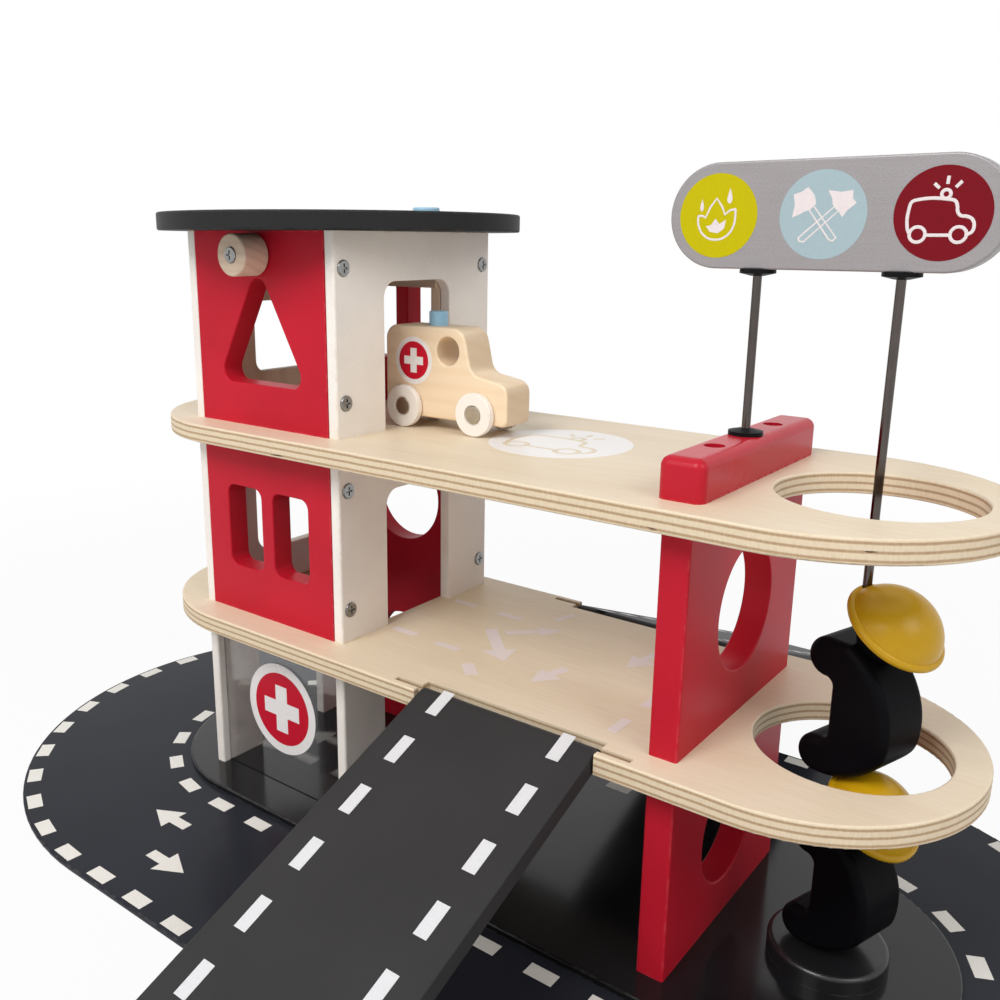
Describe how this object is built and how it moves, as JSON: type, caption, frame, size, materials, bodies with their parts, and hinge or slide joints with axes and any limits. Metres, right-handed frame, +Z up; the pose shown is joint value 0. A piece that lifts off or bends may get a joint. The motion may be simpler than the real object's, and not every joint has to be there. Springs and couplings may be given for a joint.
{
  "type": "toy fire station",
  "caption": "Wooden toy fire station: a lift tower with a hand winch, plywood decks with road ramps, a sign on thin rods, a slide pole with firefighters and a small ambulance.",
  "frame": {"origin": "centre of the base board's underside, on the floor, midway between the feet of the two ramps", "axes": "+X from the lift tower towards the slide pole, +Y from the front ramp towards the rear ramp, +Z up"},
  "size_m": [0.5918, 0.6464, 0.3227],
  "materials": {
    "dark_board": "dark grey lacquer, satin",
    "black_board": "black lacquer, glossy",
    "plywood": "clear lacquer over birch plywood, satin",
    "white_wood": "white paint, satin",
    "red_wood": "red paint, satin",
    "clear_pane": "clear acrylic sheet, polished",
    "natural_wood": "bare beech, smooth",
    "blue_wood": "light blue paint, satin",
    "grey_wood": "silver grey paint, satin",
    "black_wood": "black paint, glossy",
    "yellow_wood": "yellow paint, glossy",
    "white_plastic": "white moulded plastic",
    "black_plastic": "black push-on caps",
    "steel": "bright steel"
  },
  "bodies": {
    "station": {"base_board": "dark_board", "ground_plate": "black_board", "base_screws": "steel", "ground_left_panel": "white_wood", "ground_right_panel": "white_wood", "garage_pane": "clear_pane", "back_board": "red_wood", "lower_support": "red_wood", "middle_deck": "plywood", "middle_left_panel": "white_wood", "middle_right_panel": "white_wood", "middle_front_panel": "red_wood", "upper_support": "red_wood", "upper_deck": "plywood", "upper_left_panel": "white_wood", "upper_right_panel": "white_wood", "upper_front_panel": "red_wood", "side_panel_screws": "steel", "roof_board": "dark_board", "roof_beacon": "blue_wood", "rod_block": "red_wood", "block_screws": "steel", "sign_rod": "steel", "pole": "steel", "pole_foot": "natural_wood", "rod_collars": "black_plastic", "sign_board": "grey_wood", "front_ramp_pin": "steel", "rear_ramp_pin": "steel"},
    "front_ramp_part": {"front_ramp": "dark_board"},
    "rear_ramp_part": {"rear_ramp": "dark_board"},
    "winch": {"winch_shaft": "natural_wood", "winch_knob": "natural_wood", "knob_screw": "steel"},
    "lift": {"lift_floor": "natural_wood", "lift_left_wall": "natural_wood", "lift_front_post": "natural_wood", "lift_rear_post": "natural_wood", "lift_top_frame": "natural_wood"},
    "ambulance": {"ambulance_body": "natural_wood", "ambulance_beacon": "blue_wood"},
    "rear_wheelset": {"rear_wheels": "white_plastic", "rear_axle": "steel"},
    "front_wheelset": {"front_wheels": "white_plastic", "front_axle": "steel"},
    "lower_firefighter": {"lower_firefighter_body": "black_wood", "lower_firefighter_head": "natural_wood", "lower_firefighter_helmet": "yellow_wood"},
    "upper_firefighter": {"upper_firefighter_body": "black_wood", "upper_firefighter_head": "natural_wood", "upper_firefighter_helmet": "yellow_wood"}
  },
  "joints": [
    {"name": "front_ramp_lift", "type": "hinge", "parent": "station", "child": "front_ramp_part", "pos_m": [0.0505, -0.066, 0.0985], "axis": [-1, 0, 0], "range_deg": [0, 100]},
    {"name": "rear_ramp_lift", "type": "hinge", "parent": "station", "child": "rear_ramp_part", "pos_m": [0.0505, 0.066, 0.0985], "axis": [1, 0, 0], "range_deg": [0, 100]},
    {"name": "winch_turn", "type": "hinge", "parent": "station", "child": "winch", "pos_m": [-0.1052, -0.06, 0.2865], "axis": [0, 1, 0], "range_deg": [0, 2219.6]},
    {"name": "lift_travel", "type": "slide", "parent": "station", "child": "lift", "axis": [0, 0, 1], "range_m": [-0.1936, 0]},
    {"name": "ambulance_roll", "type": "slide", "parent": "station", "child": "ambulance", "axis": [1, 0, 0], "range_m": [-0.03, 0.1]},
    {"name": "rear_wheel_spin", "type": "hinge", "parent": "ambulance", "child": "rear_wheelset", "pos_m": [-0.0542, 0.00438, 0.2144], "axis": [0, 1, 0], "range_deg": [-170, 560]},
    {"name": "front_wheel_spin", "type": "hinge", "parent": "ambulance", "child": "front_wheelset", "pos_m": [-0.0108, 0.00438, 0.2144], "axis": [0, 1, 0], "range_deg": [-170, 560]},
    {"name": "lower_firefighter_slide", "type": "slide", "parent": "station", "child": "lower_firefighter", "axis": [0, 0, 1], "range_m": [0, 0.05]},
    {"name": "upper_firefighter_slide", "type": "slide", "parent": "lower_firefighter", "child": "upper_firefighter", "axis": [0, 0, 1], "range_m": [0, 0.055]}
  ],
  "couplings": [
    {"joint": "winch_turn", "follows": "lift_travel", "rad_per_m": -200},
    {"joint": "rear_wheel_spin", "follows": "ambulance_roll", "rad_per_m": 97.087},
    {"joint": "front_wheel_spin", "follows": "ambulance_roll", "rad_per_m": 97.087}
  ]
}
